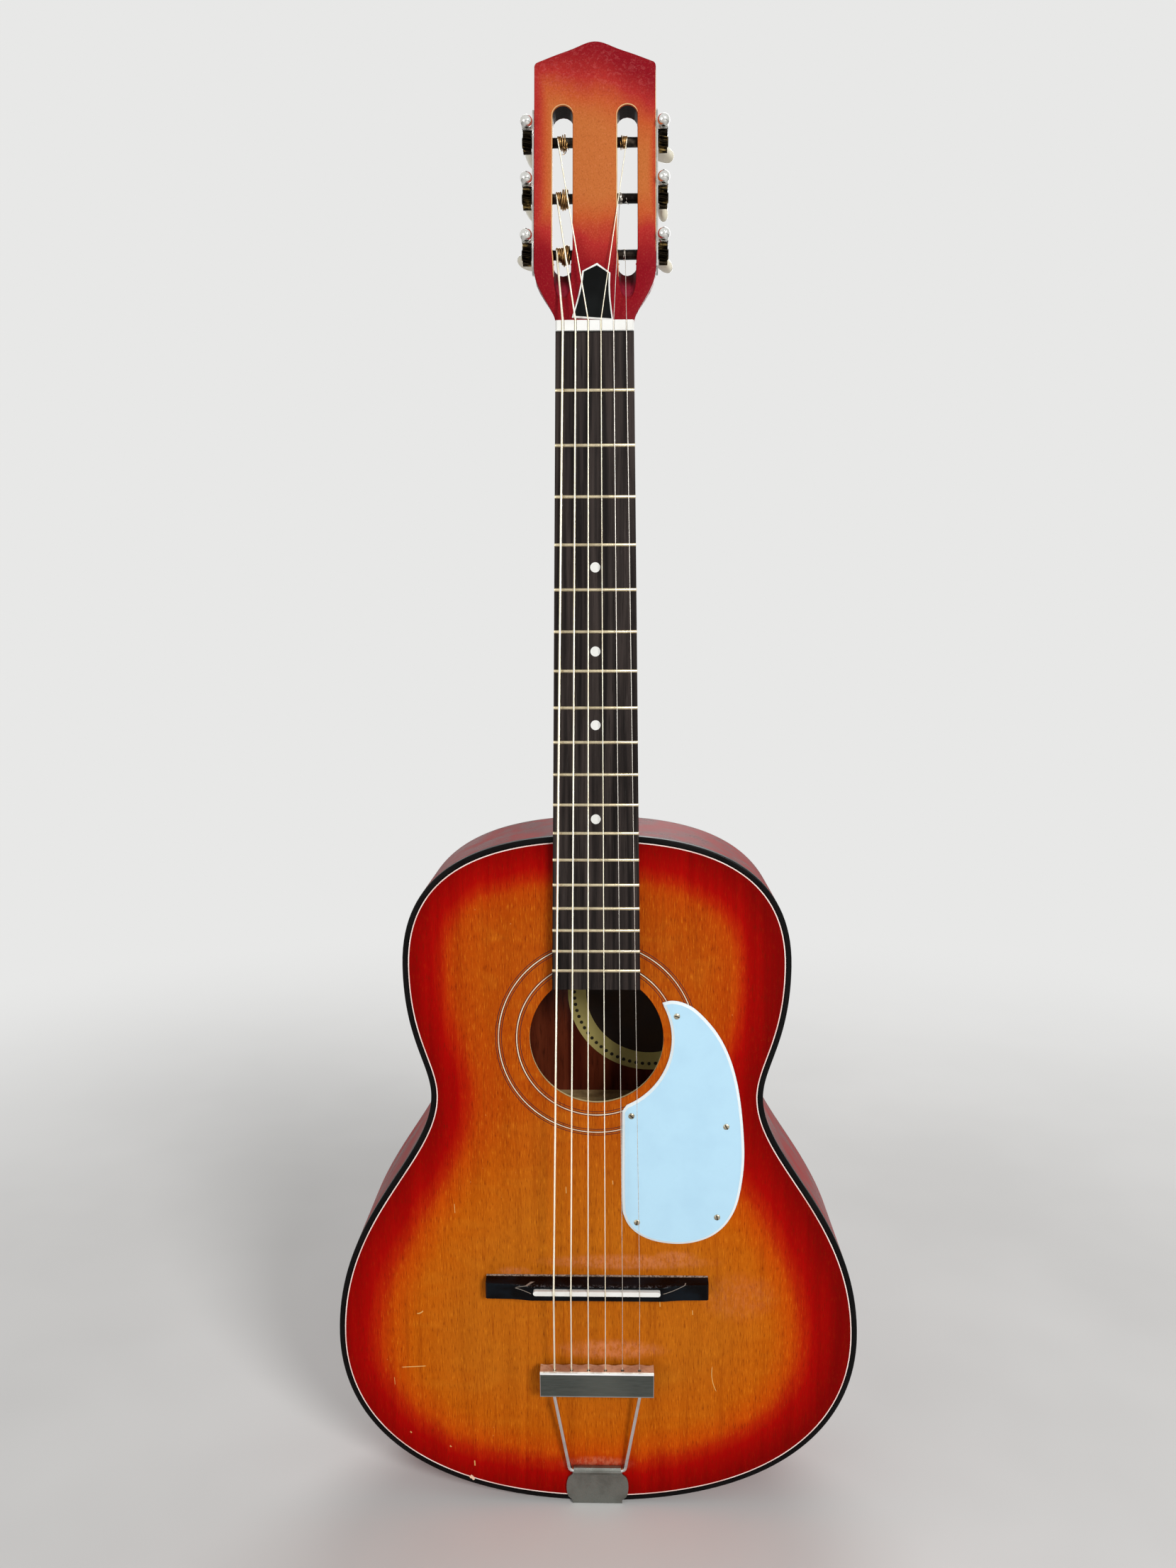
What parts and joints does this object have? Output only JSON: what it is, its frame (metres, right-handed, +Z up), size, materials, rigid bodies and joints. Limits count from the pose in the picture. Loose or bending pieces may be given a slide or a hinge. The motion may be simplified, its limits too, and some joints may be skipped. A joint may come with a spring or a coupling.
{
  "type": "acoustic guitar",
  "caption": "Small flat-top acoustic guitar with slotted headstock, worm-and-gear tuners, floating bridge, trapeze tailpiece and pickguard; each key turns a string roller.",
  "frame": {"origin": "on the centre line at the tail, in the plane of the soundboard's face", "axes": "+Z up the neck, +Y from the soundboard to the back, +X to the side of the pickguard"},
  "size_m": [0.349, 0.1067, 0.951],
  "materials": {
    "sunburst_top": "glossy lacquer, amber to dark red sunburst",
    "red_wood": "glossy red-brown lacquer",
    "raw_wood": "bare",
    "dark_wood": "oiled",
    "black_plastic": "black",
    "white_plastic": "white",
    "cream_plastic": "cream",
    "pale_blue_plastic": "pale blue",
    "nickel": "worn nickel plate",
    "dark_steel": "aged",
    "steel": "plain",
    "bronze": "wound bronze"
  },
  "bodies": {
    "body_and_neck": {"soundboard": "sunburst_top", "back_plate": "red_wood", "top_binding": "black_plastic", "left_rib": "red_wood", "right_rib": "red_wood", "top_lining_left": "raw_wood", "back_lining_left": "raw_wood", "top_lining_right": "raw_wood", "back_lining_right": "raw_wood", "neck_block": "raw_wood", "tail_block": "raw_wood", "top_brace_1": "raw_wood", "top_brace_2": "raw_wood", "top_brace_3": "raw_wood", "back_brace_1": "raw_wood", "back_brace_2": "raw_wood", "back_brace_3": "raw_wood", "neck": "red_wood", "neck_steel_bar": "dark_steel", "fingerboard": "dark_wood", "nut": "white_plastic", "bridge": "black_plastic", "saddle": "white_plastic", "pickguard": "pale_blue_plastic", "headstock_badge": "black_plastic", "string_1": "bronze", "string_2": "bronze", "string_3": "bronze", "string_4": "bronze", "string_5": "steel", "string_6": "steel", "tuner_plate_left": "nickel", "tuner_plate_right": "nickel", "tailpiece_bar": "nickel", "tailpiece_frame": "nickel", "tailpiece_hanger": "nickel"},
    "tuner_key_left_1": {"worm_left_1": "dark_steel", "button_left_1": "cream_plastic"},
    "roller_left_1": {"roller_gear_left_1": "dark_steel", "winding_1": "bronze"},
    "tuner_key_left_2": {"worm_left_2": "dark_steel", "button_left_2": "cream_plastic"},
    "roller_left_2": {"roller_gear_left_2": "dark_steel", "winding_2": "bronze"},
    "tuner_key_left_3": {"worm_left_3": "dark_steel", "button_left_3": "cream_plastic"},
    "roller_left_3": {"roller_gear_left_3": "dark_steel", "winding_3": "bronze"},
    "tuner_key_right_1": {"worm_right_1": "dark_steel", "button_right_1": "cream_plastic"},
    "roller_right_1": {"roller_gear_right_1": "dark_steel", "winding_6": "steel"},
    "tuner_key_right_2": {"worm_right_2": "dark_steel", "button_right_2": "cream_plastic"},
    "roller_right_2": {"roller_gear_right_2": "dark_steel", "winding_5": "steel"},
    "tuner_key_right_3": {"worm_right_3": "dark_steel", "button_right_3": "cream_plastic"},
    "roller_right_3": {"roller_gear_right_3": "dark_steel", "winding_4": "bronze"}
  },
  "joints": [
    {"name": "key_left_1_turn", "type": "hinge", "parent": "body_and_neck", "child": "tuner_key_left_1", "pos_m": [-0.04165, 0.01637, 0.8288], "axis": [0, 0.9848, -0.1736], "continuous": true},
    {"name": "roller_left_1_turn", "type": "hinge", "parent": "body_and_neck", "child": "roller_left_1", "pos_m": [-0.0197, 0.01501, 0.82105], "axis": [1, 0, 0], "continuous": true},
    {"name": "key_left_2_turn", "type": "hinge", "parent": "body_and_neck", "child": "tuner_key_left_2", "pos_m": [-0.04165, 0.02247, 0.86337], "axis": [0, 0.9848, -0.1736], "continuous": true},
    {"name": "roller_left_2_turn", "type": "hinge", "parent": "body_and_neck", "child": "roller_left_2", "pos_m": [-0.0197, 0.0211, 0.85562], "axis": [1, 0, 0], "continuous": true},
    {"name": "key_left_3_turn", "type": "hinge", "parent": "body_and_neck", "child": "tuner_key_left_3", "pos_m": [-0.04165, 0.02856, 0.89794], "axis": [0, 0.9848, -0.1736], "continuous": true},
    {"name": "roller_left_3_turn", "type": "hinge", "parent": "body_and_neck", "child": "roller_left_3", "pos_m": [-0.0197, 0.0272, 0.89019], "axis": [1, 0, 0], "continuous": true},
    {"name": "key_right_1_turn", "type": "hinge", "parent": "body_and_neck", "child": "tuner_key_right_1", "pos_m": [0.04165, 0.01637, 0.8288], "axis": [0, 0.9848, -0.1736], "continuous": true},
    {"name": "roller_right_1_turn", "type": "hinge", "parent": "body_and_neck", "child": "roller_right_1", "pos_m": [0.0197, 0.01501, 0.82105], "axis": [1, 0, 0], "continuous": true},
    {"name": "key_right_2_turn", "type": "hinge", "parent": "body_and_neck", "child": "tuner_key_right_2", "pos_m": [0.04165, 0.02247, 0.86337], "axis": [0, 0.9848, -0.1736], "continuous": true},
    {"name": "roller_right_2_turn", "type": "hinge", "parent": "body_and_neck", "child": "roller_right_2", "pos_m": [0.0197, 0.0211, 0.85562], "axis": [1, 0, 0], "continuous": true},
    {"name": "key_right_3_turn", "type": "hinge", "parent": "body_and_neck", "child": "tuner_key_right_3", "pos_m": [0.04165, 0.02856, 0.89794], "axis": [0, 0.9848, -0.1736], "continuous": true},
    {"name": "roller_right_3_turn", "type": "hinge", "parent": "body_and_neck", "child": "roller_right_3", "pos_m": [0.0197, 0.0272, 0.89019], "axis": [1, 0, 0], "continuous": true}
  ],
  "couplings": [
    {"joint": "key_left_1_turn", "follows": "roller_left_1_turn", "ratio": 14},
    {"joint": "key_left_2_turn", "follows": "roller_left_2_turn", "ratio": 14},
    {"joint": "key_left_3_turn", "follows": "roller_left_3_turn", "ratio": 14},
    {"joint": "key_right_1_turn", "follows": "roller_right_1_turn", "ratio": 14},
    {"joint": "key_right_2_turn", "follows": "roller_right_2_turn", "ratio": 14},
    {"joint": "key_right_3_turn", "follows": "roller_right_3_turn", "ratio": 14}
  ]
}
